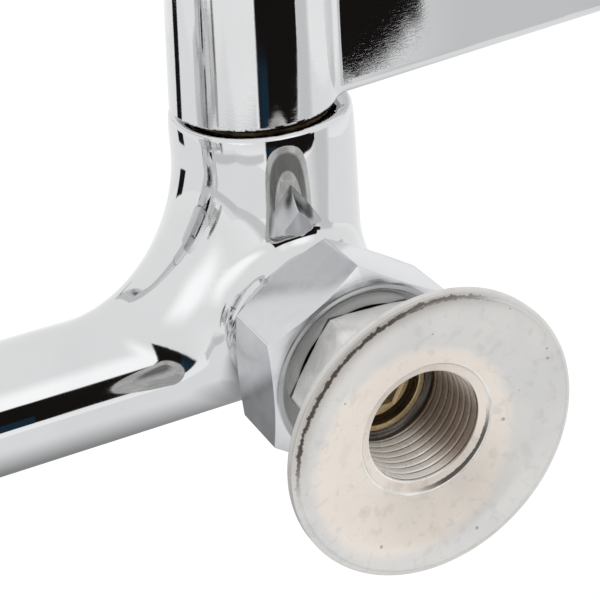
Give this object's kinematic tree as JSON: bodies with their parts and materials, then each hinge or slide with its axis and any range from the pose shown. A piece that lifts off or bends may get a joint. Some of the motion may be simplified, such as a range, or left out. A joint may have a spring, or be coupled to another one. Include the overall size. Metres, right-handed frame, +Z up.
{
  "type": "commercial wall faucet",
  "caption": "Wall-mounted mixing faucet with flanged rear inlets, quarter-turn lever valves on upright hubs and a long swing spout.",
  "frame": {"origin": "in the wall plane, midway between the two inlets and level with their axes", "axes": "+X to the right seen from the front, +Y into the wall, +Z up along the valve stems"},
  "size_m": [0.4032, 0.3791, 0.1719],
  "materials": {
    "polished_chrome": "mirror chrome plating on a polished casting and tube",
    "satin_plating": "dull plating over turned and milled faces, with fine tool lines",
    "dull_nickel": "dull nickel with a warm cast, lightly scratched and speckled",
    "brass": "machined, with turning marks",
    "stainless": "plain stainless steel",
    "ceramic": "lapped white ceramic",
    "rubber": "matt black rubber",
    "fibre": "matt red fibre sheet",
    "white_plastic": "moulded acetal",
    "hot_plastic": "red moulded cap, plain",
    "cold_plastic": "blue moulded cap, plain"
  },
  "bodies": {
    "body": {"faucet_body": "polished_chrome", "coupling_nut_left": "satin_plating", "coupling_nut_right": "satin_plating", "inlet_washer_left": "fibre", "inlet_washer_right": "fibre", "union_tailpiece_left": "brass", "union_tailpiece_right": "brass", "inlet_flange_left": "dull_nickel", "inlet_flange_right": "dull_nickel", "seat_seal_left": "rubber", "seat_seal_right": "rubber", "fixed_disc_left": "ceramic", "fixed_disc_right": "ceramic", "cartridge_housing_left": "brass", "cartridge_housing_right": "brass", "bonnet_nut_left": "brass", "bonnet_nut_right": "brass", "thrust_washer": "white_plastic", "swivel_nut": "polished_chrome"},
    "left_lever": {"valve_stem_left": "brass", "moving_disc_left": "ceramic", "stem_o_ring_left": "rubber", "stem_clip_left": "stainless", "lever_handle_left": "polished_chrome", "handle_screw_left": "stainless", "index_button_left": "hot_plastic"},
    "right_lever": {"valve_stem_right": "brass", "moving_disc_right": "ceramic", "stem_o_ring_right": "rubber", "stem_clip_right": "stainless", "lever_handle_right": "polished_chrome", "handle_screw_right": "stainless", "index_button_right": "cold_plastic"},
    "spout": {"spout_tube": "polished_chrome", "swivel_spud": "brass", "swivel_o_ring_lower": "rubber", "swivel_o_ring_upper": "rubber", "aerator_shell": "polished_chrome", "aerator_gasket": "rubber", "aerator_screen": "white_plastic"}
  },
  "joints": [
    {"name": "left_lever_turn", "type": "hinge", "parent": "body", "child": "left_lever", "pos_m": [-0.1016, -0.0625, 0.06], "axis": [0, 0, 1], "range_deg": [0, 90]},
    {"name": "right_lever_turn", "type": "hinge", "parent": "body", "child": "right_lever", "pos_m": [0.1016, -0.0625, 0.06], "axis": [0, 0, 1], "range_deg": [-90, 0]},
    {"name": "spout_swing", "type": "hinge", "parent": "body", "child": "spout", "pos_m": [0, -0.0625, 0.04], "axis": [0, 0, 1], "range_deg": [-90, 90]}
  ]
}
